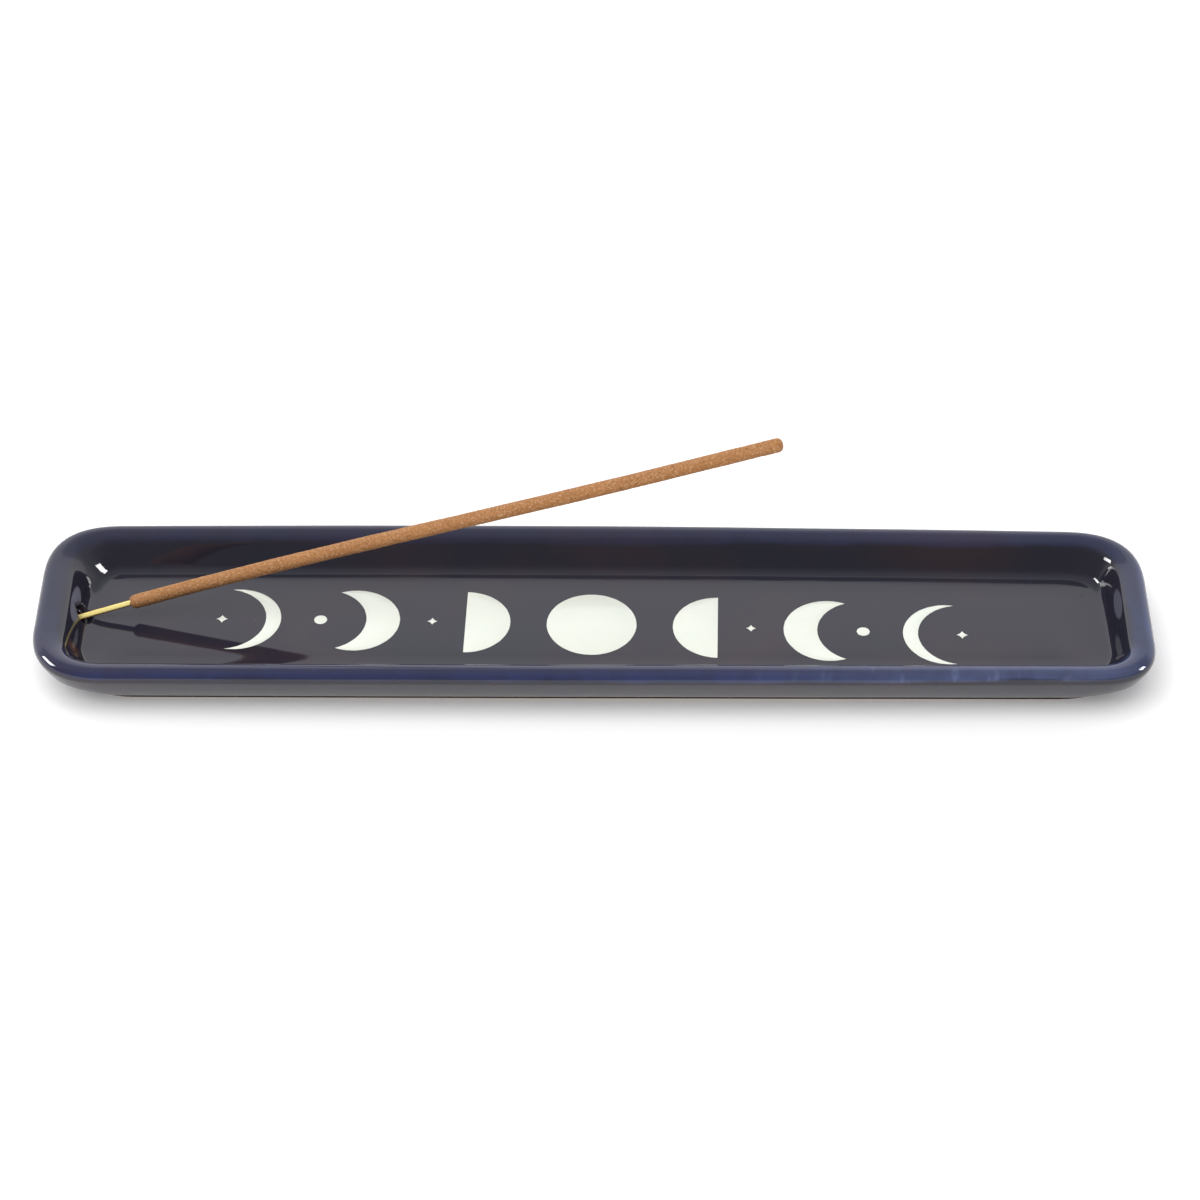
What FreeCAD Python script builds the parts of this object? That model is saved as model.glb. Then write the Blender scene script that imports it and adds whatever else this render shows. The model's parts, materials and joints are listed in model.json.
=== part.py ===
import FreeCAD, Part
import math
import os

# Long stoneware incense burner: a trough-shaped ash catcher with a rolled rim, a glazed surface, a row of fired
# transfer motifs on its floor, and one incense stick leaning out of a hole in its left end.
# Frame: origin on the table under the tray's centre, +X along the tray away from the stick hole, +Z up.
# All lengths are in millimetres, and angles in degrees.

V = FreeCAD.Vector
UP = V(0, 0, 1)

# Tray outline
TRAY_LENGTH = 250.0
TRAY_WIDTH = 52.5
TRAY_HEIGHT = 12.8
CORNER_RADIUS = 15.4

# Tray cross-section: an inset is measured inwards from the outline
RIM_RADIUS = 2.25
SHOULDER_RADIUS = 3.8
WALL_LEAN = 20.0
WALL_INSET = 6.3
FLOOR_INSET = 9.9
FLOOR_TOP = 5.0
FLOOR_FILLET = 2.5
FOOT_HEIGHT = 0.9
FOOT_INSET = 6.7
FOOT_WIDTH = 3.6
FOOT_RECESS = 0.7
RING_INSET = 12.5
GLAZE = 0.45

# Stick hole, drilled into the fillet of the left end: its mouth is where that fillet has turned by MOUTH_TURN
HOLE_RADIUS = 1.75
HOLE_DEPTH = 3.6
HOLE_ANGLE = 46.0
HOLE_ASIDE = 1.7
MOUTH_TURN = 25.2
COUNTERSINK = 0.4

# Incense stick
STICK_ANGLE = 17.9
ROOT_X = -118.2
ROOT_Z = 4.55
CORE_RADIUS = 0.7
CORE_LENGTH = 166.0
PASTE_RADIUS = 1.62
PASTE_START = 14.9
PASTE_TAPER = 1.6
PASTE_LENGTH = 153.4

# Transfer motifs: all are placed along one gently bowed line, laid a little askew on the floor
MOON_RADIUS = 10.15
HALF_PLACE = 28.5
THICK_PLACE = 53.5
THIN_PLACE = 80.4
THICK_WIDTH = 7.6
THIN_WIDTH = 3.4
DOT_PLACE = 61.3
DOT_RADIUS = 1.46
DIAMOND_PLACE = 36.0
DIAMOND_SIZE = 1.1
STAR_PLACE = 83.6
STAR_SIZE = 1.35
STAR_WAIST = 0.36
DIAMOND_WAIST = 0.5
TRANSFER = 0.3
TRANSFER_PROUD = 0.05
ROW_SKEW = -1.5
ROW_BOW = 0.6

# Centres of the three rounds of the cross-section, as (inset, height)
RIM_CENTRE = (RIM_RADIUS, TRAY_HEIGHT - RIM_RADIUS)
SHOULDER_CENTRE = (RIM_RADIUS, TRAY_HEIGHT - SHOULDER_RADIUS)
FILLET_CENTRE = (FLOOR_INSET, FLOOR_TOP + FLOOR_FILLET)
STICK_ROOT = V(ROOT_X, HOLE_ASIDE, ROOT_Z)


def on_circle(centre, radius, degrees):
    """A point of the cross-section, at an angle above the inward direction."""
    a = math.radians(degrees)
    return (centre[0] + radius * math.cos(a), centre[1] + radius * math.sin(a))


def wall_circle():
    """Centre and radius of the outer wall's arc: it leaves the rim smoothly and ends at the foot."""
    start = on_circle(RIM_CENTRE, RIM_RADIUS, 180 + WALL_LEAN)
    inward = on_circle((0, 0), 1, WALL_LEAN)
    across = (WALL_INSET - start[0], FOOT_HEIGHT - start[1])
    reach = across[0] * inward[0] + across[1] * inward[1]
    radius = (across[0] ** 2 + across[1] ** 2) / (2 * reach)
    return (start[0] + radius * inward[0], start[1] + radius * inward[1]), radius


def inner_wall_angle():
    """Direction of the inner wall's normal: that wall is the line that touches the shoulder and the fillet."""
    dx = FILLET_CENTRE[0] - SHOULDER_CENTRE[0]
    dz = FILLET_CENTRE[1] - SHOULDER_CENTRE[1]
    half = math.acos((SHOULDER_RADIUS + FLOOR_FILLET) / math.hypot(dx, dz))
    return math.degrees(math.atan2(dz, dx) + half)


def place(point):
    """A cross-section point in the plane that is turned about a corner's axis."""
    return V(CORNER_RADIUS - point[0], 0, point[1])


def line(a, b):
    return Part.LineSegment(place(a), place(b)).toShape()


def arc(centre, radius, start, end):
    middle = on_circle(centre, radius, (start + end) / 2)
    first = on_circle(centre, radius, start)
    last = on_circle(centre, radius, end)
    return Part.Arc(place(first), place(middle), place(last)).toShape()


def upper_edges(skin):
    """The wall, rim, shoulder, inner wall, fillet and floor, moved inwards by skin, and that line's two ends."""
    wall_centre, wall_radius = wall_circle()
    wall_radius -= skin
    drop = math.asin((wall_centre[1] - FOOT_HEIGHT) / wall_radius)
    wall_end = 180 + math.degrees(drop)
    inner = inner_wall_angle()
    rim_radius = RIM_RADIUS - skin
    shoulder_radius = SHOULDER_RADIUS - skin
    fillet_radius = FLOOR_FILLET + skin
    foot = on_circle(wall_centre, wall_radius, wall_end)
    floor = (FLOOR_INSET, FLOOR_TOP - skin)
    centre_side = (RING_INSET, FLOOR_TOP - skin)
    edges = [
        arc(wall_centre, wall_radius, wall_end, 180 + WALL_LEAN),
        arc(RIM_CENTRE, rim_radius, 180 + WALL_LEAN, 90),
        arc(SHOULDER_CENTRE, shoulder_radius, 90, inner),
        line(
            on_circle(SHOULDER_CENTRE, shoulder_radius, inner),
            on_circle(FILLET_CENTRE, fillet_radius, 180 + inner),
        ),
        arc(FILLET_CENTRE, fillet_radius, 180 + inner, 270),
        line(floor, centre_side),
    ]
    return edges, foot, centre_side


def section(skin, lower_points):
    """A closed cross-section: the upper line, then straight runs through lower_points back to the foot."""
    edges, foot, last = upper_edges(skin)
    for point in lower_points + [foot]:
        edges.append(line(last, point))
        last = point
    return Part.Face(Part.Wire(edges))


def rounded_slab(inset, low, high):
    """A rectangular slab with rounded corners, inset from the tray's outline."""
    radius = CORNER_RADIUS - inset
    long_half = TRAY_LENGTH / 2 - CORNER_RADIUS
    short_half = TRAY_WIDTH / 2 - CORNER_RADIUS
    height = high - low
    slabs = []
    for half_x, half_y in ((long_half + radius, short_half), (long_half, short_half + radius)):
        slabs.append(Part.makeBox(2 * half_x, 2 * half_y, height, V(-half_x, -half_y, low)))
    for x in (-long_half, long_half):
        for y in (-short_half, short_half):
            slabs.append(Part.makeCylinder(radius, height, V(x, y, low)))
    return slabs[0].multiFuse(slabs[1:]).removeSplitter()


def tray_solid(face, slab_low, slab_high):
    """The cross-section turned round the four corners and run along the four sides, filled by a central slab."""
    long_run = TRAY_LENGTH - 2 * CORNER_RADIUS
    short_run = TRAY_WIDTH - 2 * CORNER_RADIUS
    corners = [(1, 1, long_run), (-1, 1, short_run), (-1, -1, long_run), (1, -1, short_run)]
    pieces = []
    for turn, (sx, sy, run) in enumerate(corners):
        corner = face.revolve(V(0, 0, 0), UP, 90)
        side = face.extrude(V(0, run, 0))
        side.rotate(V(0, 0, 0), UP, 90)
        for piece in (corner, side):
            piece.rotate(V(0, 0, 0), UP, 90 * turn)
            piece.translate(V(sx * long_run / 2, sy * short_run / 2, 0))
            pieces.append(piece)
    pieces.append(rounded_slab(RING_INSET, slab_low, slab_high))
    return pieces[0].multiFuse(pieces[1:]).removeSplitter()


def hole_mouth():
    """The centre of the hole's mouth, on the glazed surface, and the hole's outward direction."""
    inset, height = on_circle(FILLET_CENTRE, FLOOR_FILLET, 270 - MOUTH_TURN)
    a = math.radians(HOLE_ANGLE)
    return V(inset - TRAY_LENGTH / 2, HOLE_ASIDE, height), V(math.cos(a), 0, math.sin(a))


def stick_hole(skin):
    """The hole as a solid, widened by skin: a drilled bore and the countersink that softens its edge."""
    mouth, out = hole_mouth()
    radius = HOLE_RADIUS + skin
    reach = 3 * HOLE_RADIUS
    sink = COUNTERSINK + skin * (math.sqrt(2) - 1)
    bore = Part.makeCylinder(radius, HOLE_DEPTH + skin + reach, mouth - out * (HOLE_DEPTH + skin), out)
    flare = Part.makeCone(radius, radius + sink + reach, sink + reach, mouth - out * sink, out)
    return bore.fuse(flare)


def clay_body():
    foot_inner = FOOT_INSET + FOOT_WIDTH
    lower = [
        (RING_INSET, FOOT_RECESS),
        (foot_inner + FOOT_RECESS, FOOT_RECESS),
        (foot_inner, 0),
        (FOOT_INSET, 0),
        (FOOT_INSET, FOOT_HEIGHT),
    ]
    body = tray_solid(section(GLAZE, lower), FOOT_RECESS, FLOOR_TOP - GLAZE)
    return body.cut(stick_hole(GLAZE))


def glazed_envelope():
    envelope = tray_solid(section(0, [(RING_INSET, FOOT_HEIGHT)]), FOOT_HEIGHT, FLOOR_TOP)
    return envelope.cut(stick_hole(0))


def prism(wire):
    return Part.Face(wire).extrude(V(0, 0, TRANSFER))


def disc(radius, x=0):
    return Part.makeCylinder(radius, TRANSFER, V(x, 0, 0))


def half_moon(side):
    """The outer half of the disc, with its straight edge towards the left on the left and right on the right."""
    low_x = 0 if side < 0 else -MOON_RADIUS
    keep = Part.makeBox(MOON_RADIUS, 2 * MOON_RADIUS, TRANSFER, V(low_x, -MOON_RADIUS, 0))
    return disc(MOON_RADIUS).common(keep)


def crescent(side, width):
    """A disc with an equal disc cut away, so the crescent bulges towards the middle of the row."""
    return disc(MOON_RADIUS).cut(disc(MOON_RADIUS, side * width))


def four_points(size, waist):
    """A small star with four points, whose waist is the share of the size left between two points."""
    points = []
    for step in range(8):
        reach = size if step % 2 == 0 else size * waist
        a = math.radians(45 * step)
        points.append(V(reach * math.cos(a), reach * math.sin(a), 0))
    return prism(Part.makePolygon(points + points[:1]))


def on_row(shape, x):
    """Lays a motif on the row: at x along it, on its bow, turned by its skew, sunk into the floor's glaze."""
    moved = shape.copy()
    moved.translate(V(x, -ROW_BOW * (x / THIN_PLACE) ** 2, FLOOR_TOP + TRANSFER_PROUD - TRANSFER))
    moved.rotate(V(0, 0, 0), UP, ROW_SKEW)
    return moved


def transfer_motifs():
    motifs = {"full_moon": on_row(disc(MOON_RADIUS), 0)}
    for name, side in (("left", -1), ("right", 1)):
        motifs["half_moon_" + name] = on_row(half_moon(side), side * HALF_PLACE)
        motifs["diamond_" + name] = on_row(four_points(DIAMOND_SIZE, DIAMOND_WAIST), side * DIAMOND_PLACE)
        motifs["thick_crescent_" + name] = on_row(crescent(side, THICK_WIDTH), side * THICK_PLACE)
        motifs["dot_" + name] = on_row(disc(DOT_RADIUS), side * DOT_PLACE)
        motifs["thin_crescent_" + name] = on_row(crescent(side, THIN_WIDTH), side * THIN_PLACE)
        motifs["star_" + name] = on_row(four_points(STAR_SIZE, STAR_WAIST), side * STAR_PLACE)
    return motifs


def on_stick(shape):
    """Tips a piece made upright on the origin so that it lies along the stick, from its root."""
    moved = shape.copy()
    moved.rotate(V(0, 0, 0), V(0, 1, 0), 90 - STICK_ANGLE)
    moved.translate(STICK_ROOT)
    return moved


def bamboo_core():
    return on_stick(Part.makeCylinder(CORE_RADIUS, CORE_LENGTH))


def incense_paste():
    """The rolled paste round the core: tapered where it starts, round at its tip, and solid past the core's end."""
    core_end = V(CORE_RADIUS, 0, CORE_LENGTH)
    start = PASTE_START
    tip = PASTE_START + PASTE_LENGTH
    shoulder = V(PASTE_RADIUS, 0, tip - PASTE_RADIUS)
    a = math.radians(45)
    halfway = V(PASTE_RADIUS * math.sin(a), 0, tip - PASTE_RADIUS * (1 - math.cos(a)))
    edges = [
        Part.LineSegment(V(CORE_RADIUS, 0, start), V(PASTE_RADIUS, 0, start + PASTE_TAPER)).toShape(),
        Part.LineSegment(V(PASTE_RADIUS, 0, start + PASTE_TAPER), shoulder).toShape(),
        Part.Arc(shoulder, halfway, V(0, 0, tip)).toShape(),
        Part.LineSegment(V(0, 0, tip), V(0, 0, CORE_LENGTH)).toShape(),
        Part.LineSegment(V(0, 0, CORE_LENGTH), core_end).toShape(),
        Part.LineSegment(core_end, V(CORE_RADIUS, 0, start)).toShape(),
    ]
    return on_stick(Part.Face(Part.Wire(edges)).revolve(V(0, 0, 0), UP, 360))


def build():
    clay = clay_body()
    glaze = glazed_envelope().cut(clay)
    motifs = transfer_motifs()
    for motif in motifs.values():
        glaze = glaze.cut(motif)
    nodes = {"clay_body": clay, "glaze_coat": glaze}
    for name, motif in motifs.items():
        nodes[name] = motif
    nodes["bamboo_core"] = bamboo_core()
    nodes["incense_paste"] = incense_paste()
    return nodes


os.makedirs("parts", exist_ok=True)
for node, shape in build().items():
    shape.exportStep("parts/" + node + ".step")
    print(node, "volume", round(shape.Volume, 1), "valid", shape.isValid())
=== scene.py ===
import json
import math

import bmesh
import bpy
from mathutils import Matrix, Vector, noise


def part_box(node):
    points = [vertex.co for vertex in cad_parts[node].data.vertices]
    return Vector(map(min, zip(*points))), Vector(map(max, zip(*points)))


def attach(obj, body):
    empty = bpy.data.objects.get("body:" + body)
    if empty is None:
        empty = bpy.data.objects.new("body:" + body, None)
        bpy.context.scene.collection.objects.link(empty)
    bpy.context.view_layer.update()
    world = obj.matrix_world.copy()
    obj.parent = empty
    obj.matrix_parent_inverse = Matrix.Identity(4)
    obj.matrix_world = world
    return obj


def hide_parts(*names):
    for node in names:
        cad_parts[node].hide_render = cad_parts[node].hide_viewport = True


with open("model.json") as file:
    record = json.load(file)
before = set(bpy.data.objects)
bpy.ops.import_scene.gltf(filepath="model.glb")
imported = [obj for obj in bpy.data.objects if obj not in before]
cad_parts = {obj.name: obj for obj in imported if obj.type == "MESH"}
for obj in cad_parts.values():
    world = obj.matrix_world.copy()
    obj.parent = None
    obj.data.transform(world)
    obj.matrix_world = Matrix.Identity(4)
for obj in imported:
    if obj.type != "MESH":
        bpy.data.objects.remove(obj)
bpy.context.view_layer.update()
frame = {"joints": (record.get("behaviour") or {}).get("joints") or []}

# Looks of a long glazed incense burner and its leaning stick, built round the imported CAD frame.
# Lengths are millimetres and angles are degrees, until METRE turns a finished mesh into metres.
METRE = 0.001

# ---- sizes taken from the frame -----------------------------------------------------------------

# how far the prints stand over the floor
MOTIF_PROUD = 0.05


def box_mm(node):
    """Lowest and highest corner of a CAD node, in millimetres."""
    low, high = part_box(node)
    return low / METRE, high / METRE


TRAY_LOW, TRAY_HIGH = box_mm("glaze_coat")
HALF_LENGTH = TRAY_HIGH.x
HALF_WIDTH = TRAY_HIGH.y
RIM_TOP = TRAY_HIGH.z
GLAZE_FOOT = TRAY_LOW.z
FLOOR_TOP = box_mm("full_moon")[1].z - MOTIF_PROUD

STICK_AXIS = Vector(frame["joints"][0]["axis"]).normalized()
STICK_UP = Vector((-STICK_AXIS.z, 0, STICK_AXIS.x))
STICK_SIDE = Vector((0, 1, 0))
CORE_LOW, CORE_HIGH = box_mm("bamboo_core")
PASTE_LOW, PASTE_HIGH = box_mm("incense_paste")
CORE_RADIUS = (CORE_HIGH.y - CORE_LOW.y) / 2
PASTE_RADIUS = (PASTE_HIGH.y - PASTE_LOW.y) / 2
STICK_ROOT = Vector((
    CORE_LOW.x + CORE_RADIUS * STICK_AXIS.z,
    (CORE_LOW.y + CORE_HIGH.y) / 2,
    CORE_LOW.z + CORE_RADIUS * STICK_AXIS.x,
))
CORE_LENGTH = (CORE_HIGH.x - CORE_LOW.x - 2 * CORE_RADIUS * STICK_AXIS.z) / STICK_AXIS.x
# the paste goes on a little past the core's end
TIP_PAST_CORE = 1.9
STICK_END = CORE_LENGTH + TIP_PAST_CORE

# ---- sizes that the CAD section and this script share -------------------------------------------

RIM_RADIUS = 2.25
SHOULDER_RADIUS = 3.8
WALL_LEAN = 20
WALL_INSET = 6.3
FLOOR_INSET = 9.9
FLOOR_FILLET = 2.5
FOOT_INSET = 6.7
FOOT_WIDTH = 3.6
FOOT_RECESS = 0.7
FOOT_EDGE = 0.25
# how far the recess's own edge is softened, inwards and downwards
RECESS_SOFTNESS = (0.5, 0.2)
GLAZE = 0.45
# how far the glaze reaches into the clay at its lower edge, before the clay is cut out of it
GLAZE_OVERLAP = 0.6

HOLE_RADIUS = 1.75
HOLE_DEPTH = 3.3
HOLE_ANGLE = 46
HOLE_LIP = 0.7
HOLE_LIP_RISE = 0.3
MOUTH_TURN = 25.2

PASTE_START = 14.9
MOTIF_DEPTH = 0.25
MOTIF_BEVEL = 0.04
MOTIF_RAGGED = 0.012
ROW_SKEW = -1.5
THICK_CRESCENT_WIDTH = 7.6
THIN_CRESCENT_WIDTH = 3.4
# half the length of a small star and of a diamond, and how full each is between its points
STAR = (1.3, 0.56)
DIAMOND = (1.15, 0.55)

# ---- what the kiln did --------------------------------------------------------------------------

ARCH = 0.5
RIM_WAVE = 0.16
SKIN_WAVE = 0.035
# radius of each corner, and how much squarer than round it is, in the order right back, left back, left
# front, right front
CORNERS = ((17.9, 0.09), (17.1, 0.08), (16.9, 0.05), (16.8, 0.13))
END_SHIFT = 0.47
# how much larger the corners' radius is at the table, and the height above which it isn't
FOOT_ROUNDING = 5.5
FOOT_ROUNDING_TOP = 6
# how much further in the inner wall lies than in the CAD section, at the right end, the left end and the
# long sides, and the insets over which that grows
RIGHT_EXTRA = 0.7
LEFT_EXTRA = 1.9
SIDE_EXTRA = -0.15
EXTRA_START = 3.2
EXTRA_RUN = 4
# how much further in it lies in each corner, in the same order as CORNERS, and over which insets
CORNER_EXTRAS = (0.0, 1.6, 0.8, 0.8)
CORNER_EXTRA_START = 5.2
CORNER_EXTRA_RUN = 2.6
# slopes of the floor, from the middle line out: down to a shallow gutter, and up again to the wall
FRONT_SLOPES = ((0.0, 0.0), (10.4, -0.047), (12.2, 0.0), (16.5, 0.20))
BACK_SLOPES = ((0.0, 0.0), (10.4, -0.020), (11.4, 0.0), (16.5, 0.101))
# width of the band along the middle where one half's slopes pass into the other's
SLOPE_BLEND = 20
# bow of the front and the back: at the middle of the tray, then what grows along it and along it squared
FRONT_BOW = (-0.10, 0.56, 0.93)
BACK_BOW = (0.74, -0.36, -0.63)
# how far the stick bends towards the back
STICK_BOW = 1.4
STICK_BOW_REACH = 140


def fired(point):
    """Where the kiln left a point of the tray: arched, bowed along its sides, and slightly wavy."""
    # the plain number in each noise only picks a place in it
    x, y, z = point
    along = x / HALF_LENGTH
    arch = ARCH * (1 - along**2)
    middle, slope, curve = FRONT_BOW if y < 0 else BACK_BOW
    bow = (middle + slope * along + curve * along**2) * abs(y) / HALF_WIDTH
    rim = RIM_WAVE * (z / RIM_TOP) ** 2 * noise.noise(Vector((x / 48, y / 60, 3.1)))
    lean = 0.6 * RIM_WAVE * (z / RIM_TOP) * noise.noise(Vector((x / 70, 7.7, y / 70)))
    skin = SKIN_WAVE * noise.noise(Vector((x / 26, y / 19, 11.3)))
    return Vector((x, y + lean + bow, z + arch + rim + skin))


# ---- mesh helpers -------------------------------------------------------------------------------


def on_circle(radius, degrees, height=0.0):
    angle = math.radians(degrees)
    return Vector((radius * math.cos(angle), radius * math.sin(angle), height))


def eased(share):
    """0 to 1, with soft ends."""
    share = max(0.0, min(1.0, share))
    return share * share * (3 - 2 * share)


def arc(centre, radius, start, end, steps):
    """Points (inset, height) along an arc in the tray's section."""
    return [
        (centre[0] + spot.x, centre[1] + spot.y)
        for spot in (on_circle(radius, start + (end - start) * k / steps) for k in range(steps + 1))
    ]


def skinned(rings):
    """A mesh over rings that all have the same number of points, and its rows of vertices."""
    mesh = bmesh.new()
    rows = [[mesh.verts.new(point) for point in ring] for ring in rings]
    count = len(rows[0])
    for low, high in zip(rows, rows[1:]):
        for k in range(count):
            mesh.faces.new((low[k], low[(k + 1) % count], high[(k + 1) % count], high[k]))
    return mesh, rows


def closed_mesh(rings):
    """A mesh over rings, closed by a face on each end ring."""
    mesh, rows = skinned(rings)
    mesh.faces.new(list(reversed(rows[0])))
    mesh.faces.new(rows[-1])
    return mesh


def solid_from_rings(name, rings):
    return object_from(name, closed_mesh(rings))


def object_from(name, mesh, sharp=40):
    """Turns a finished bmesh in millimetres into an object in metres with smooth faces."""
    bmesh.ops.remove_doubles(mesh, verts=mesh.verts, dist=1e-5)
    bmesh.ops.recalc_face_normals(mesh, faces=mesh.faces)
    bmesh.ops.scale(mesh, vec=(METRE, METRE, METRE), verts=mesh.verts)
    data = bpy.data.meshes.new(name)
    mesh.to_mesh(data)
    mesh.free()
    data.shade_smooth()
    data.set_sharp_from_angle(angle=math.radians(sharp))
    made = bpy.data.objects.new(name, data)
    bpy.context.scene.collection.objects.link(made)
    return made


def cut(target, cutter):
    """Takes cutter's volume out of target's mesh, for good."""
    step = target.modifiers.new("cut", "BOOLEAN")
    step.operation = "DIFFERENCE"
    step.solver = "EXACT"
    step.object = cutter
    bpy.context.view_layer.update()
    evaluated = target.evaluated_get(bpy.context.evaluated_depsgraph_get())
    result = bpy.data.meshes.new_from_object(evaluated)
    target.modifiers.clear()
    target.data = result


def discard(thing):
    bpy.data.objects.remove(thing)


def finish_piece(piece, body, slot, material, *nodes):
    """Gives a piece its material and its CAD body, and hides the CAD nodes that it stands for."""
    piece.data.materials.clear()
    piece.data.materials.append(material)
    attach(piece, body)
    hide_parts(*nodes)


# ---- the tray's section -------------------------------------------------------------------------

RIM_CENTRE = (RIM_RADIUS, RIM_TOP - RIM_RADIUS)
SHOULDER_CENTRE = (RIM_RADIUS, RIM_TOP - SHOULDER_RADIUS)


def slope_rise(slopes, away):
    """Height gained at a distance away from the middle line, for slopes given at some distances."""
    rise = 0.0
    for (near, low), (far, high) in zip(slopes, slopes[1:]):
        step = max(0.0, min(away, far) - near)
        rise += step * (low + (high - low) * step / (far - near) / 2)
    return rise


def floor_rise(away, y):
    """Height of the floor over its middle line. The front half is more crowned than the back half."""
    front = slope_rise(FRONT_SLOPES, away)
    return front + (slope_rise(BACK_SLOPES, away) - front) * eased(0.5 + y / SLOPE_BLEND)


FLOOR_HALF = FRONT_SLOPES[-1][0]
FLOOR_EDGE = slope_rise(FRONT_SLOPES, FLOOR_HALF)
FLOOR_TILT = math.degrees(math.atan(FRONT_SLOPES[-1][1]))
FILLET_RISE = FLOOR_FILLET * math.cos(math.radians(FLOOR_TILT))
FILLET_CENTRE = (FLOOR_INSET, FLOOR_TOP + FLOOR_EDGE + FILLET_RISE)


def wall_circle():
    """Centre and radius of the outer wall's arc: tangent to the rim, and down to the glaze line."""
    inward = on_circle(1, WALL_LEAN)
    foot = Vector((WALL_INSET - RIM_CENTRE[0], GLAZE_FOOT - RIM_CENTRE[1], 0))
    reach = (foot.length_squared - RIM_RADIUS**2) / (2 * RIM_RADIUS + 2 * foot.dot(inward))
    centre = (RIM_CENTRE[0] + reach * inward.x, RIM_CENTRE[1] + reach * inward.y)
    return centre, reach + RIM_RADIUS


def inner_wall_angle():
    """Direction that the inner wall faces. It is tangent to the shoulder and to the floor fillet."""
    across = FILLET_CENTRE[0] - SHOULDER_CENTRE[0]
    down = FILLET_CENTRE[1] - SHOULDER_CENTRE[1]
    turn = math.acos((SHOULDER_RADIUS + FLOOR_FILLET) / math.hypot(across, down))
    return math.degrees(math.atan2(down, across) + turn)


def upper_section(skin, lowest_inset):
    """Section of the surface that lies skin below the glaze, from the foot over the rim to the floor."""
    centre, radius = wall_circle()
    lowest = 360 - math.degrees(math.acos((lowest_inset - centre[0]) / (radius - skin)))
    face = inner_wall_angle()
    wall = arc(centre, radius - skin, lowest, 180 + WALL_LEAN, 14)
    rim = arc(RIM_CENTRE, RIM_RADIUS - skin, 180 + WALL_LEAN, 90, 20)
    shoulder = arc(SHOULDER_CENTRE, SHOULDER_RADIUS - skin, 90, face, 16)
    fillet = arc(FILLET_CENTRE, FLOOR_FILLET + skin, 180 + face, 270 - FLOOR_TILT, 14)
    (x0, z0), (x1, z1) = shoulder[-1], fillet[0]
    straight = [(x0 + (x1 - x0) * k / 5, z0 + (z1 - z0) * k / 5) for k in range(1, 5)]
    return wall + rim[1:] + shoulder[1:] + straight + fillet


def foot_section():
    """Section of the bare foot, from the recess under the tray to the foot's outer side."""
    inner = FOOT_INSET + FOOT_WIDTH
    inside_edge = arc((inner - FOOT_EDGE, FOOT_EDGE), FOOT_EDGE, 0, -90, 3)
    outside_edge = arc((FOOT_INSET + FOOT_EDGE, FOOT_EDGE), FOOT_EDGE, -90, -180, 3)
    soft_in, soft_down = RECESS_SOFTNESS
    recess = [(inner + soft_in, FOOT_RECESS), (inner, FOOT_RECESS - soft_down)]
    return recess + inside_edge + outside_edge


# ---- the tray's solids --------------------------------------------------------------------------

CORNER_STEPS = 30
LONG_STEPS = 84
SHORT_STEPS = 44
FLOOR_STEPS = 28
SPINE = HALF_LENGTH - HALF_WIDTH


def extra_inset(inset, way, corner_extra):
    """How far the inner wall lies inside the CAD section, for a direction from the corner's middle."""
    end = RIGHT_EXTRA if way.x > 0 else LEFT_EXTRA
    even = end * way.x**2 + SIDE_EXTRA * way.y**2
    corner = 4 * corner_extra * way.x**2 * way.y**2
    fallen = max(0.0, min(1.0, (inset - CORNER_EXTRA_START) / CORNER_EXTRA_RUN))
    return eased((inset - EXTRA_START) / EXTRA_RUN) * even + fallen * corner


def tray_ring(inset, height, past_crest=False):
    """One loop round the tray, moved in by inset, anticlockwise from the middle of the right end."""
    quarters = ((1, 1, 0), (-1, 1, 90), (-1, -1, 180), (1, -1, 270))
    arcs = []
    low = 0 if past_crest else max(0, 1 - height / FOOT_ROUNDING_TOP)
    for (side_x, side_y, start), (radius, squareness), extra in zip(quarters, CORNERS, CORNER_EXTRAS):
        wide = radius + FOOT_ROUNDING * low
        centre_x = side_x * (HALF_LENGTH - wide) + END_SHIFT
        centre = Vector((centre_x, side_y * (HALF_WIDTH - wide), height))
        points = []
        for k in range(CORNER_STEPS + 1):
            turn = 90 * k / CORNER_STEPS
            diagonal = math.sin(math.radians(2 * turn)) ** 2
            way = on_circle(1, start + turn)
            reach = wide - inset + (radius - inset) * squareness * diagonal
            if past_crest:
                reach -= extra_inset(inset, way, extra)
            points.append(centre + way * reach)
        arcs.append(points)
    ring = []
    for run, following, steps in zip(arcs, arcs[1:] + arcs[:1], (LONG_STEPS, SHORT_STEPS) * 2):
        ring += run
        ring += [run[-1].lerp(following[0], k / steps) for k in range(1, steps)]
    return ring


def to_the_middle(ring, is_floor):
    """Loops that close a ring down to the tray's middle line, flat or with the floor's shape."""
    loops = []
    for k in range(1, FLOOR_STEPS + 1):
        share = k / FLOOR_STEPS
        left = 1 - share
        loop = []
        for point in ring:
            drop = FLOOR_EDGE - floor_rise(left * FLOOR_HALF, point.y * left) if is_floor else 0
            middle = Vector((max(-SPINE, min(SPINE, point.x)), 0, point.z))
            loop.append(point.lerp(middle, share) - Vector((0, 0, drop)))
        loops.append(loop)
    return loops


def swept_tray(name, section):
    """A closed solid whose section runs round the tray, closed along the middle below and above."""
    crest = max(range(len(section)), key=lambda k: section[k][1])
    rings = [tray_ring(inset, height, k > crest) for k, (inset, height) in enumerate(section)]
    rings = list(reversed(to_the_middle(rings[0], False))) + rings + to_the_middle(rings[-1], True)
    mesh, _ = skinned([[fired(point) for point in ring] for ring in rings])
    return object_from(name, mesh)


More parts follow.
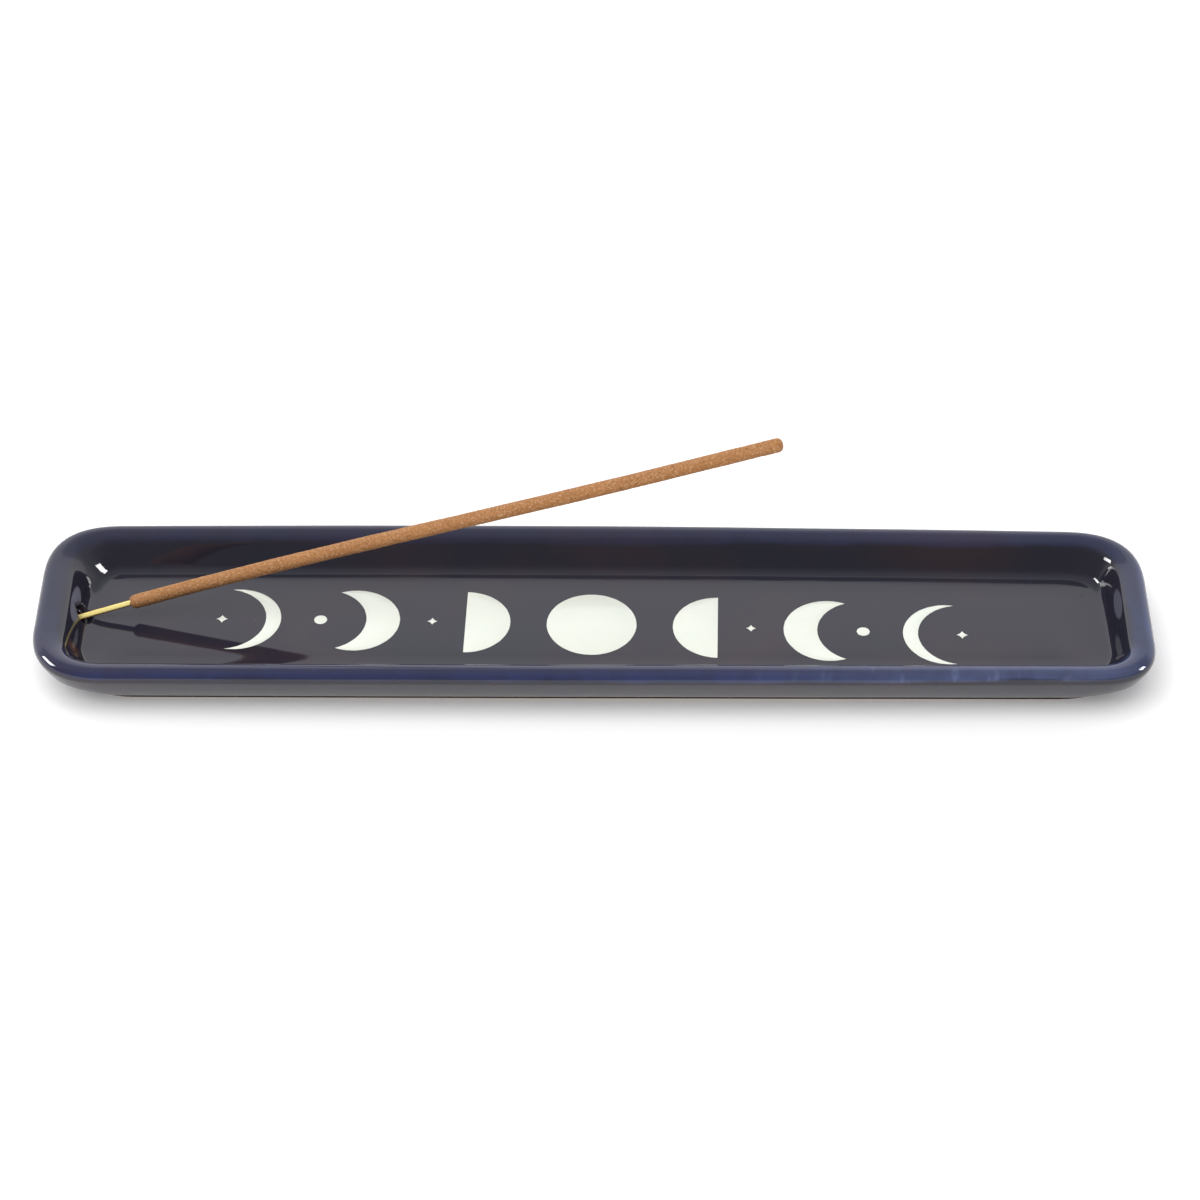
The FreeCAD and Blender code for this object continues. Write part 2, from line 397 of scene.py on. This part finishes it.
def hole_mouth():
    """Middle of the stick hole's mouth, on the floor fillet of the left end."""
    drop = on_circle(FLOOR_FILLET, 270 - MOUTH_TURN)
    inset = FLOOR_INSET + drop.x
    return Vector((inset - HALF_LENGTH, STICK_ROOT.y, FLOOR_TOP + FLOOR_FILLET + drop.y))


def hole_profile(skin):
    """Radius and rise of the hole along its axis: a rounded bottom, a straight bore and a flared lip."""
    radius = HOLE_RADIUS + skin
    bottom = -HOLE_DEPTH - skin
    profile = [(radius * 0.5, bottom), (radius - 0.3, bottom + 0.1), (radius, bottom + 0.5)]
    for k in range(9):
        turn = math.radians(90 * k / 8)
        flare = HOLE_LIP * (1 - math.cos(turn))
        profile.append((radius + flare, HOLE_LIP * (math.sin(turn) - 1) + HOLE_LIP_RISE))
    profile.append((radius + HOLE_LIP + 0.5, 3.0))
    return profile


def hole_cutter(name, skin):
    """The space of the stick hole, and larger all round by skin."""
    out = Matrix.Rotation(-math.radians(HOLE_ANGLE), 3, "Y") @ Vector((1, 0, 0))
    across = Vector((0, 1, 0))
    up = out.cross(across)
    mouth = fired(hole_mouth())
    sides = 48
    rings = []
    for reach, rise in hole_profile(skin):
        ring = []
        for k in range(sides):
            spot = on_circle(reach, 360 * k / sides)
            ring.append(mouth + out * rise + across * spot.x + up * spot.y)
        rings.append(ring)
    return solid_from_rings(name, rings)


def build_tray(glaze_material, clay_material):
    """The clay body and the glaze coat over it, both with the stick hole."""
    clay = swept_tray("fired_clay", foot_section() + upper_section(GLAZE, FOOT_INSET))
    wide_hole = hole_cutter("wide_hole", GLAZE)
    cut(clay, wide_hole)
    discard(wide_hole)
    section = [(WALL_INSET + GLAZE_OVERLAP, GLAZE_FOOT)] + upper_section(0, WALL_INSET)
    glaze = swept_tray("glaze_skin", section)
    hole = hole_cutter("hole", 0)
    cut(glaze, hole)
    discard(hole)
    cut(glaze, clay)
    finish_piece(clay, "tray", "bare_clay", clay_material, "clay_body")
    finish_piece(glaze, "tray", "navy_glaze", glaze_material, "glaze_coat")


# ---- the printed motifs -------------------------------------------------------------------------


def centred(node, bulge=0):
    """Middle and half size of a motif, from its CAD node. A moon cut from a disc has that disc's middle."""
    low, high = box_mm(node)
    middle, half = (low + high) / 2, (high - low) / 2
    middle.x += bulge * (half.x - half.y)
    return middle, half


def disc_outline(radius, steps=96):
    return [on_circle(radius, 360 * k / steps) for k in range(steps)]


def half_moon_outline(radius, side, steps=64):
    """A half disc. Its round side faces side (-1 left, 1 right)."""
    start = -90 if side > 0 else 90
    bow = [on_circle(radius, start + 180 * k / steps) for k in range(steps + 1)]
    chord = [bow[-1].lerp(bow[0], k / 12) for k in range(1, 12)]
    return bow + chord


def crescent_outline(radius, side, width, steps=72):
    """A disc with an equal disc taken out of it, moved away from side by width."""
    half_turn = math.degrees(math.acos(-width / 2 / radius))
    middle = 0 if side > 0 else 180
    outer = [on_circle(radius, middle - half_turn + 2 * half_turn * k / steps) for k in range(steps + 1)]
    shift = Vector((-side * width, 0, 0))
    inner_turn = 180 - half_turn
    inner = [
        on_circle(radius, middle + inner_turn - 2 * inner_turn * k / steps) + shift for k in range(1, steps)
    ]
    return outer + inner


def four_point_outline(size, waist, steps=8):
    """A four-pointed star whose sides bow in, to waist times its size on the diagonals."""
    outline = []
    for quarter in range(4):
        tip = on_circle(size, 90 * quarter)
        bay = on_circle(2 * size * (waist - math.sqrt(2) / 4), 90 * quarter + 45)
        next_tip = on_circle(size, 90 * quarter + 90)
        for k in range(steps):
            t = k / steps
            outline.append(tip * (1 - t) ** 2 + bay * 2 * t * (1 - t) + next_tip * t * t)
    return outline


def pulled_in(outline, distance):
    """The outline moved towards its inside by distance at every point."""
    moved = []
    for k, point in enumerate(outline):
        along = (outline[(k + 1) % len(outline)] - outline[k - 1]).normalized()
        moved.append(point + Vector((-along.y, along.x, 0)) * distance)
    return moved


def motif(node, outline, material, bulge=0):
    """A thin print set in the floor's glaze, with soft edges and a slightly uneven outline."""
    middle, _ = centred(node, bulge)
    turn = Matrix.Rotation(math.radians(ROW_SKEW), 3, "Z")
    ragged = []
    for point in outline:
        spot = Vector((point.x + middle.x, point.y, 0))
        share = MOTIF_RAGGED * noise.noise(spot * 0.9) / max(1, point.length / 3)
        ragged.append(point * (1 + share))
    rings = []
    for inward, height in ((0, -MOTIF_DEPTH), (0, 0), (0.3, 0.7 * MOTIF_PROUD), (1, MOTIF_PROUD)):
        level = Vector((0, 0, height))
        rings.append([point + level for point in pulled_in(ragged, inward * MOTIF_BEVEL)])
    mesh = closed_mesh(rings)
    # cuts a millimetre apart let the print follow the floor's crown
    cuts = math.ceil(max(point.length for point in outline))
    for k in range(1 - cuts, cuts):
        everything = mesh.verts[:] + mesh.edges[:] + mesh.faces[:]
        bmesh.ops.bisect_plane(mesh, geom=everything, plane_co=(0, k, 0), plane_no=(0, 1, 0))
    for vert in mesh.verts:
        spot = turn @ vert.co + middle
        level = FLOOR_TOP + vert.co.z + floor_rise(abs(spot.y), spot.y)
        vert.co = fired(Vector((spot.x, spot.y, level)))
    piece = object_from(node + "_print", mesh)
    finish_piece(piece, "tray", "white_transfer", material, node)


def build_motifs(material):
    """The thirteen prints along the floor, mirrored about the full moon."""
    moon = centred("full_moon")[1].x
    motif("full_moon", disc_outline(moon), material)
    for word, side in (("left", -1), ("right", 1)):
        thick = crescent_outline(moon, -side, THICK_CRESCENT_WIDTH)
        thin = crescent_outline(moon, -side, THIN_CRESCENT_WIDTH)
        motif("half_moon_" + word, half_moon_outline(moon, -side), material, -side)
        motif("diamond_" + word, four_point_outline(*DIAMOND), material)
        motif("thick_crescent_" + word, thick, material, -side)
        motif("dot_" + word, disc_outline(centred("dot_" + word)[1].x, 40), material)
        motif("thin_crescent_" + word, thin, material, -side)
        motif("star_" + word, four_point_outline(*STAR), material)


# ---- the incense stick --------------------------------------------------------------------------


def stick_point(along, reach, degrees):
    """A point at a distance along the stick, reach out from its axis."""
    spot = on_circle(reach, degrees)
    share = min(1.0, along / STICK_BOW_REACH)
    # 27 / 4 brings the largest value of this curve to STICK_BOW
    bow = STICK_BOW * share * (1 - share) ** 2 * 27 / 4
    return STICK_ROOT + STICK_AXIS * along + STICK_SIDE * (spot.x + bow) + STICK_UP * spot.y


BAMBOO_SQUARE = 0.05
BAMBOO_TWIST = 0.9
BAMBOO_RIBS = 0.03


def bamboo_ring(along, shrink=1.0, sides=40):
    """The split bamboo is a little square, and its fibres run along it as shallow ribs."""
    ring = []
    for k in range(sides):
        degrees = 360 * k / sides
        square = 1 + BAMBOO_SQUARE * math.cos(math.radians(4 * degrees + BAMBOO_TWIST * along))
        fibre = BAMBOO_RIBS * noise.noise(Vector((k * 0.9, along / 9, 2.0)))
        ring.append(stick_point(along, CORE_RADIUS * shrink * (square + fibre - BAMBOO_RIBS), degrees))
    return ring


def build_bamboo(material):
    """The core: finely modelled where it is bare, and plain inside the paste."""
    rings = [bamboo_ring(0, 0.72), bamboo_ring(0.12, 0.9)]
    bare = 48
    rings += [bamboo_ring(0.35 + (PASTE_START + 3) * k / bare) for k in range(bare + 1)]
    hidden = PASTE_START + 6
    rings += [bamboo_ring(hidden + (CORE_LENGTH - hidden) * k / 12) for k in range(13)]
    piece = solid_from_rings("bamboo_splint", rings)
    finish_piece(piece, "stick", "bamboo", material, "bamboo_core")


PASTE_SIDES = 44
PASTE_SPACING = 0.36
PASTE_SHOULDER = 1.5
PASTE_TIP = 1.3
PASTE_LUMP_SIZE = 9.67


def paste_reach(along, degrees):
    """Radius of the rolled paste: a few slow lumps, and the grain of the wood powder."""
    side = on_circle(PASTE_RADIUS, degrees)
    spot = Vector((along, side.x, side.y))
    lumps = 0.05 * noise.noise(spot / PASTE_LUMP_SIZE + Vector((4, 0, 0)))
    slow = 0.045 * noise.noise(Vector((along / 7, 5.5, 0.3)))
    grain = 0.05 * noise.noise(spot * 1.7) + 0.03 * noise.noise(spot * 3.6)
    return PASTE_RADIUS - 0.03 + lumps + slow + grain


def paste_ring(along, shrink=1.0):
    ring = []
    for k in range(PASTE_SIDES):
        degrees = 360 * k / PASTE_SIDES
        ring.append(stick_point(along, paste_reach(along, degrees) * shrink, degrees))
    return ring


def paste_start_ring(share):
    """A ring of the rounded start, at a share of its length. Its first edge on the bamboo is uneven."""
    skirt = CORE_RADIUS * 0.95
    rise = math.sqrt(1 - (1 - share) ** 2)
    ring = []
    for k in range(PASTE_SIDES):
        degrees = 360 * k / PASTE_SIDES
        edge = 0.1 + 0.45 * noise.noise(on_circle(1.1, degrees) + Vector((0, 0, 9)))
        along = PASTE_START + edge * (1 - share) + PASTE_SHOULDER * share
        ring.append(stick_point(along, skirt + (paste_reach(along, degrees) - skirt) * rise, degrees))
    return ring


def build_paste(material):
    """The paste, from its start on the bare bamboo to its rounded tip."""
    step = 360 / PASTE_SIDES
    rings = [[stick_point(PASTE_START + 0.5, CORE_RADIUS * 0.8, step * k) for k in range(PASTE_SIDES)]]
    rings += [paste_start_ring(share) for share in (0, 0.04, 0.12, 0.24, 0.4, 0.6, 0.8)]
    first = PASTE_START + PASTE_SHOULDER
    run = STICK_END - PASTE_TIP - first
    count = round(run / PASTE_SPACING)
    rings += [paste_ring(first + run * j / count) for j in range(count + 1)]
    for j in range(1, 8):
        turn = math.radians(90 * j / 8)
        along = STICK_END - PASTE_TIP + PASTE_TIP * math.sin(turn) * 0.98
        rings.append(paste_ring(along, math.cos(turn) ** 0.8))
    piece = solid_from_rings("rolled_paste", rings)
    finish_piece(piece, "stick", "incense_paste", material, "incense_paste")


# ---- material helpers ---------------------------------------------------------------------------


def add(tree, kind, inputs=None, **settings):
    """Adds a node, sets what it is given, and links any input that is another node's output."""
    made = tree.nodes.new(kind)
    for key, value in settings.items():
        setattr(made, key, value)
    for key, value in (inputs or {}).items():
        if isinstance(value, bpy.types.NodeSocket):
            tree.links.new(value, made.inputs[key])
        else:
            made.inputs[key].default_value = value
    return made


def colour(rgb):
    return (*rgb, 1.0)


def calc(tree, operation, first, second=0.0):
    return add(tree, "ShaderNodeMath", {0: first, 1: second}, operation=operation).outputs[0]


def vector_calc(tree, operation, first, second=(0.0, 0.0, 0.0)):
    """Vector arithmetic: gives a vector, or a number for a distance, a length or a dot product."""
    made = add(tree, "ShaderNodeVectorMath", {0: first, 1: second}, operation=operation)
    return made.outputs["Value" if operation in ("DISTANCE", "LENGTH", "DOT_PRODUCT") else "Vector"]


def spread(tree, value, low, high, start=0.0, end=1.0):
    """Maps value from low..high to start..end, smoothly, and holds it beyond them."""
    inputs = {"Value": value, "From Min": low, "From Max": high, "To Min": start, "To Max": end}
    return add(tree, "ShaderNodeMapRange", inputs, interpolation_type="SMOOTHSTEP").outputs["Result"]


def mixed(tree, share, first, second):
    """Mixes two colours, each a plain colour or a node's output."""
    inputs = {0: share, 6: first, 7: second}
    return add(tree, "ShaderNodeMix", inputs, data_type="RGBA").outputs[2]


def stretched(tree, where, scale, turn=(0, 0, 0)):
    inputs = {"Vector": where, "Scale": scale, "Rotation": [math.radians(a) for a in turn]}
    return add(tree, "ShaderNodeMapping", inputs).outputs["Vector"]


def mottle(tree, where, size, detail=3.0, rough=0.55):
    """Noise with features of about size millimetres."""
    inputs = {"Vector": where, "Scale": 1 / (size * METRE), "Detail": detail, "Roughness": rough}
    return add(tree, "ShaderNodeTexNoise", inputs).outputs["Fac"]


def cells(tree, where, size):
    """Distance to the nearest of some scattered points about size millimetres apart, 0 at a point."""
    inputs = {"Vector": where, "Scale": 1 / (size * METRE)}
    return add(tree, "ShaderNodeTexVoronoi", inputs).outputs["Distance"]


def raised(tree, height, depth, below=None):
    """Bump of depth millimetres."""
    inputs = {"Height": height, "Strength": 1.0, "Distance": depth * METRE}
    if below is not None:
        inputs["Normal"] = below
    return add(tree, "ShaderNodeBump", inputs).outputs["Normal"]


def new_material(name):
    """A material with a Principled shader, and the object's own coordinates."""
    made = bpy.data.materials.new(name)
    made.use_nodes = True
    tree = made.node_tree
    tree.nodes.clear()
    shader = add(tree, "ShaderNodeBsdfPrincipled")
    output = add(tree, "ShaderNodeOutputMaterial")
    tree.links.new(shader.outputs[0], output.inputs[0])
    where = add(tree, "ShaderNodeTexCoord").outputs["Object"]
    return made, tree, shader, where


def plug(tree, shader, **sockets):
    for name, value in sockets.items():
        tree.links.new(value, shader.inputs[name.replace("_", " ")])


# ---- materials ----------------------------------------------------------------------------------

# where iron has come through the glaze, in the left end's front corner
RUST_SPOT = (-0.1155, -0.0120, 0.0080)
# painted reflections, pale patches on the inner end walls: the middle of each and how strong it is
PAINTED_REFLECTION_PATCHES = (((-0.1166, 0.0020, 0.0088), 0.9), ((0.1193, 0.0030, 0.0090), 0.5))
# half length of a painted reflection patch across the tray, and how much shorter than that it is each way
REFLECTION_PATCH_REACH = 0.0066
REFLECTION_PATCH_SQUEEZE = (4.8, 1.0, 3.0)


def rusted(tree, where, base):
    """The glaze's colour with the rust spot on it."""
    away = vector_calc(tree, "DISTANCE", where, RUST_SPOT)
    return mixed(tree, spread(tree, away, 0.0005, 0.0030, 0.75, 0.0), base, colour((0.125, 0.056, 0.032)))


def warmed(tree, x, y, base):
    """The glaze's colour with the warm patch on it, at the right of the inner back wall."""
    patch = calc(tree, "MULTIPLY", spread(tree, y, 0.0175, 0.0205), spread(tree, x, 0.055, 0.075))
    patch = calc(tree, "MULTIPLY", patch, spread(tree, x, 0.088, 0.104, 0.5, 0.0))
    return mixed(tree, patch, base, colour((0.042, 0.024, 0.026)))


def with_painted_reflection(tree, where, middle, strength, base):
    """The glaze's colour with one painted reflection on it, a pale patch on an inner end wall."""
    aside = vector_calc(tree, "SUBTRACT", where, middle)
    reach = vector_calc(tree, "LENGTH", vector_calc(tree, "MULTIPLY", aside, REFLECTION_PATCH_SQUEEZE))
    share = spread(tree, reach, REFLECTION_PATCH_REACH * 0.8, REFLECTION_PATCH_REACH, strength, 0.0)
    return mixed(tree, share, base, colour((0.17, 0.17, 0.22)))


def thin_share(tree, where, axes, clouds):
    """How much of the cobalt shows: only on the rim, and most along its outer front and right sides."""
    x, y = axes.outputs["X"], axes.outputs["Y"]
    height = calc(tree, "MULTIPLY", axes.outputs["Z"], 1 / METRE)
    level = calc(tree, "ADD", height, spread(tree, clouds, 0.25, 0.75, -0.5, 0.5))
    runs = mottle(tree, stretched(tree, where, (1.0, 1.0, 0.25)), 5)
    thin = calc(tree, "MULTIPLY", spread(tree, level, 11.0, 12.1), spread(tree, runs, 0.25, 0.7, 0.7, 1.0))
    outer_front = spread(tree, y, -0.0258, -0.0242, 0.4, 0.0)
    outer_right = spread(tree, x, 0.1228, 0.1248, 0.0, 0.5)
    outer = calc(tree, "MAXIMUM", outer_front, outer_right)
    front = calc(tree, "ADD", spread(tree, y, -0.018, 0.018, 0.25, 0.0), 0.33)
    return calc(tree, "MULTIPLY", thin, calc(tree, "ADD", outer, front))


def cobalt(tree, where, x, y):
    """Colour of the thin glaze: bluer towards the right, and streaked with pale blue at the front right."""
    right = spread(tree, x, -0.06, 0.125)
    blue = mixed(tree, right, colour((0.030, 0.036, 0.100)), colour((0.044, 0.062, 0.165)))
    streaks = spread(tree, mottle(tree, stretched(tree, where, (1.0, 0.4, 0.12)), 2.6, 1.0), 0.6, 0.72)
    corner = calc(tree, "MULTIPLY", spread(tree, x, 0.02, 0.11), spread(tree, y, -0.024, -0.020, 1.0, 0.0))
    pale = calc(tree, "MULTIPLY", corner, spread(tree, streaks, 0.0, 1.0, 0.5, 1.0))
    return mixed(tree, pale, blue, colour((0.160, 0.200, 0.370)))


def glaze_relief(tree, where):
    """Slow ripples, a fine orange peel and pinholes."""
    ripple = raised(tree, mottle(tree, where, 14, 1.0), 0.05)
    peel = raised(tree, mottle(tree, where, 2.2, 2.0), 0.0015, ripple)
    return raised(tree, spread(tree, cells(tree, where, 11), 0.0, 0.03), 0.02, peel)


def navy_glaze():
    """Near-black navy glass that thins to cobalt where it ran off the rim."""
    made, tree, shader, where = new_material("navy_glaze")
    axes = add(tree, "ShaderNodeSeparateXYZ", {"Vector": where})
    x, y = axes.outputs["X"], axes.outputs["Y"]
    clouds = mottle(tree, where, 26)
    violet = spread(tree, clouds, 0.4, 0.75)
    deep = mixed(tree, violet, colour((0.021, 0.021, 0.034)), colour((0.032, 0.024, 0.034)))
    deep = warmed(tree, x, y, rusted(tree, where, deep))
    # painted reflections: pale patches where a light shows mirrored in the inner end walls
    for middle, strength in PAINTED_REFLECTION_PATCHES:
        deep = with_painted_reflection(tree, where, middle, strength, deep)
    base = mixed(tree, thin_share(tree, where, axes, clouds), deep, cobalt(tree, where, x, y))
    specks = spread(tree, cells(tree, where, 7.5), 0.0, 0.05, 1.0, 0.0)
    base = mixed(tree, calc(tree, "MULTIPLY", specks, 0.5), base, colour((0.05, 0.07, 0.16)))
    plug(tree, shader, Base_Color=base, Normal=glaze_relief(tree, where))
    plug(tree, shader, Roughness=spread(tree, clouds, 0.3, 0.8, 0.035, 0.07))
    shader.inputs["IOR"].default_value = 1.52
    return made


def bare_clay():
    """Unglazed stoneware: sandy, with iron specks, and toasted clay with painted shade on the foot's side.
    """
    made, tree, shader, where = new_material("bare_clay")
    axes = add(tree, "ShaderNodeSeparateXYZ", {"Vector": where})
    height = calc(tree, "MULTIPLY", axes.outputs["Z"], 1 / METRE)
    clouds = mottle(tree, where, 12)
    grit = mottle(tree, where, 0.5, 4.0)
    base = mixed(tree, clouds, colour((0.40, 0.30, 0.22)), colour((0.55, 0.45, 0.35)))
    base = mixed(tree, spread(tree, grit, 0.35, 0.75), base, colour((0.66, 0.56, 0.44)))
    # painted shade: the foot's outer side near black, partly toasted clay, partly painted contact shadow
    toast_and_painted_shade = spread(tree, calc(tree, "ADD", height, calc(tree, "MULTIPLY", clouds, 0.2)), 0.12, 0.3)
    outward = add(tree, "ShaderNodeTexCoord").outputs["Normal"]
    facing = add(tree, "ShaderNodeSeparateXYZ", {"Vector": outward})
    sideways = spread(tree, facing.outputs["Z"], -0.9, -0.5)
    base = mixed(tree, calc(tree, "MULTIPLY", toast_and_painted_shade, sideways), base, colour((0.040, 0.022, 0.016)))
    iron = spread(tree, cells(tree, where, 1.9), 0.05, 0.16, 1.0, 0.0)
    base = mixed(tree, calc(tree, "MULTIPLY", iron, 0.7), base, colour((0.10, 0.055, 0.03)))
    plug(tree, shader, Base_Color=base, Normal=raised(tree, grit, 0.06))
    shader.inputs["Roughness"].default_value = 0.88
    return made


def white_transfer():
    """Glossy white print, faintly green and cream in soft clouds."""
    made, tree, shader, where = new_material("white_transfer")
    clouds = mottle(tree, where, 6)
    dots = mottle(tree, where, 0.35, 2.0)
    base = mixed(tree, clouds, colour((0.83, 0.89, 0.81)), colour((0.91, 0.92, 0.81)))
    base = mixed(tree, spread(tree, dots, 0.62, 0.8, 0.0, 0.25), base, colour((0.72, 0.76, 0.74)))
    plug(tree, shader, Base_Color=base, Normal=raised(tree, dots, 0.004))
    plug(tree, shader, Roughness=spread(tree, clouds, 0.2, 0.8, 0.12, 0.22))
    shader.inputs["IOR"].default_value = 1.5
    return made


# the way the yellow side of the split bamboo faces; its other sides are brown
BAMBOO_FACE = (-0.20, -0.69, 0.69)


def bamboo():
    """Dyed yellow split bamboo, with brown fibres along it."""
    made, tree, shader, where = new_material("bamboo")
    rise = math.degrees(math.atan2(STICK_AXIS.z, STICK_AXIS.x))
    along = stretched(tree, where, (1, 1, 1), (0, rise, 0))
    fibres = mottle(tree, stretched(tree, along, (0.04, 1, 1)), 0.16, 3.0)
    stains = mottle(tree, stretched(tree, along, (0.35, 1, 1)), 1.1)
    base = mixed(tree, fibres, colour((1.0, 0.74, 0.14)), colour((1.0, 0.94, 0.46)))
    base = mixed(tree, spread(tree, stains, 0.56, 0.75, 0.0, 0.5), base, colour((0.60, 0.27, 0.05)))
    outward = add(tree, "ShaderNodeTexCoord").outputs["Normal"]
    facing = vector_calc(tree, "DOT_PRODUCT", outward, BAMBOO_FACE)
    base = mixed(tree, spread(tree, facing, 0.45, 0.80, 1.0, 0.0), base, colour((0.50, 0.23, 0.05)))
    plug(tree, shader, Base_Color=base, Normal=raised(tree, fibres, 0.006))
    shader.inputs["Roughness"].default_value = 0.5
    return made


def incense_paste():
    """Rolled wood powder: matte, with pale and dark grains and a few bits of bark."""
    made, tree, shader, where = new_material("incense_paste")
    clouds = mottle(tree, where, 5)
    grain = mottle(tree, where, 0.45, 4.0, 0.7)
    base = mixed(tree, clouds, colour((0.39, 0.165, 0.055)), colour((0.48, 0.22, 0.075)))
    base = mixed(tree, spread(tree, grain, 0.5, 0.72), base, colour((0.66, 0.42, 0.24)))
    base = mixed(tree, spread(tree, grain, 0.48, 0.28, 0.0, 0.85), base, colour((0.19, 0.085, 0.035)))
    bark = spread(tree, cells(tree, where, 4.2), 0.03, 0.09, 1.0, 0.0)
    base = mixed(tree, calc(tree, "MULTIPLY", bark, 0.75), base, colour((0.12, 0.06, 0.03)))
    plug(tree, shader, Base_Color=base, Normal=raised(tree, grain, 0.12))
    shader.inputs["Roughness"].default_value = 0.9
    return made


# ---- studio -------------------------------------------------------------------------------------

ROOM_FRONT = (0.20, 0.195, 0.20)
ROOM_ABOVE = (0.46, 0.46, 0.47)
ROOM_BACK = (0.72, 0.72, 0.74)
SWEEP = (1.22, 1.22, 1.25)
SWEEP_HALF_WIDTH = 66
BACKDROP = (0.93, 0.93, 0.94)
TABLE_GLOW = 0.16
LIGHT_DISTANCE = 1500
GLINT_RADIANCE = 22
KEY_RADIANCE = 2.75


def build_floor():
    """A large pale table under the object, which glows a little."""
    made, tree, shader, where = new_material("pale_table")
    soft = mottle(tree, where, 300)
    plug(tree, shader, Base_Color=mixed(tree, soft, colour((0.96, 0.96, 0.96)), colour((0.98, 0.98, 0.98))))
    shader.inputs["Roughness"].default_value = 0.9
    shader.inputs["Specular IOR Level"].default_value = 0.0
    shader.inputs["Emission Color"].default_value = colour((1.0, 1.0, 1.0))
    shader.inputs["Emission Strength"].default_value = TABLE_GLOW
    mesh = bmesh.new()
    bmesh.ops.create_circle(mesh, cap_ends=True, segments=96, radius=6000)
    table = object_from("table", mesh)
    table.data.materials.append(made)


def spread_angle(tree, angle, low, high, start=0.0, end=1.0):
    """The same as spread, with low and high in degrees."""
    return spread(tree, angle, math.radians(low), math.radians(high), start, end)


def build_world():
    """A white sweep behind the object, and a room that is dim in front of it and brighter above.

    Only reflections and the soft light show them: the camera itself sees an even pale grey.
    """
    world = bpy.data.worlds.new("studio")
    bpy.context.scene.world = world
    world.use_nodes = True
    tree = world.node_tree
    tree.nodes.clear()
    way = add(tree, "ShaderNodeTexCoord").outputs["Generated"]
    axes = add(tree, "ShaderNodeSeparateXYZ", {"Vector": way})
    to_front = calc(tree, "MULTIPLY", axes.outputs["Y"], -1.0)
    over = calc(tree, "ARCTAN2", axes.outputs["Z"], to_front)
    aside = calc(tree, "ABSOLUTE", calc(tree, "ARCTAN2", axes.outputs["X"], axes.outputs["Y"]))
    room = mixed(tree, spread_angle(tree, over, 35, 95), colour(ROOM_FRONT), colour(ROOM_ABOVE))
    room = mixed(tree, spread_angle(tree, over, 105, 132), room, colour(ROOM_BACK))
    edge = spread_angle(tree, over, 131, 135)
    within = spread_angle(tree, aside, SWEEP_HALF_WIDTH - 4, SWEEP_HALF_WIDTH + 4, 1.0, 0.0)
    light = mixed(tree, calc(tree, "MULTIPLY", edge, within), room, colour(SWEEP))
    seen = add(tree, "ShaderNodeLightPath").outputs["Is Camera Ray"]
    light = mixed(tree, seen, light, colour(BACKDROP))
    back = add(tree, "ShaderNodeBackground", {"Color": light, "Strength": 1.0})
    output = add(tree, "ShaderNodeOutputWorld")
    tree.links.new(back.outputs[0], output.inputs[0])


def towards(azimuth, elevation):
    """Direction out from the tray. Azimuth 0 is towards the camera, and 90 is to the right."""
    flat = math.radians(azimuth)
    lift = math.radians(elevation)
    return Vector((math.sin(flat) * math.cos(lift), -math.cos(flat) * math.cos(lift), math.sin(lift)))


def softbox(name, azimuth, elevation, width, height, radiance):
    """An area light aimed at the tray."""
    way = towards(azimuth, elevation)
    lamp = bpy.data.lights.new(name, "AREA")
    lamp.shape = "RECTANGLE"
    lamp.size = width * METRE
    lamp.size_y = height * METRE
    lamp.energy = radiance * math.pi * lamp.size * lamp.size_y
    holder = bpy.data.objects.new(name, lamp)
    bpy.context.scene.collection.objects.link(holder)
    holder.location = way * LIGHT_DISTANCE * METRE
    holder.rotation_euler = way.to_track_quat("Z", "Y").to_euler()
    holder.visible_camera = False
    return holder


def build_lights():
    """Two softboxes that only show as glints, and a wide key light that gives the soft light itself."""
    left = softbox("left_softbox", -90, 23, 640, 440, GLINT_RADIANCE)
    right = softbox("right_softbox", 84, 19, 330, 480, GLINT_RADIANCE)
    for glint in (left, right):
        glint.visible_diffuse = False
    key = softbox("key_light", -30, 66, 1500, 1500, KEY_RADIANCE)
    key.visible_glossy = False


CAMERA_AIM = Vector((1.87, 9.11, 5.0))
CAMERA_DISTANCE = 877.7
CAMERA_ELEVATION = 40.365
CAMERA_AZIMUTH = 0.018
CAMERA_ROLL = 0.263
CAMERA_LENS = 115.6


def build_camera():
    """The camera, fitted to the rim, the foot line and the motifs."""
    data = bpy.data.cameras.new("camera")
    data.sensor_width = 36
    data.lens = CAMERA_LENS
    data.clip_start = 0.01
    data.clip_end = 50
    camera = bpy.data.objects.new("camera", data)
    bpy.context.scene.collection.objects.link(camera)
    turn = Matrix.Rotation(math.radians(CAMERA_AZIMUTH), 4, "Z")
    turn = turn @ Matrix.Rotation(math.radians(90 - CAMERA_ELEVATION), 4, "X")
    turn = turn @ Matrix.Rotation(math.radians(CAMERA_ROLL), 4, "Z")
    place = CAMERA_AIM + towards(CAMERA_AZIMUTH, CAMERA_ELEVATION) * CAMERA_DISTANCE
    camera.matrix_world = Matrix.Translation(place * METRE) @ turn
    bpy.context.scene.camera = camera


# ---- put together -------------------------------------------------------------------------------

build_tray(navy_glaze(), bare_clay())
build_motifs(white_transfer())
build_bamboo(bamboo())
build_paste(incense_paste())
build_floor()
build_world()
build_lights()
build_camera()
bpy.context.scene.view_settings.view_transform = "Standard"
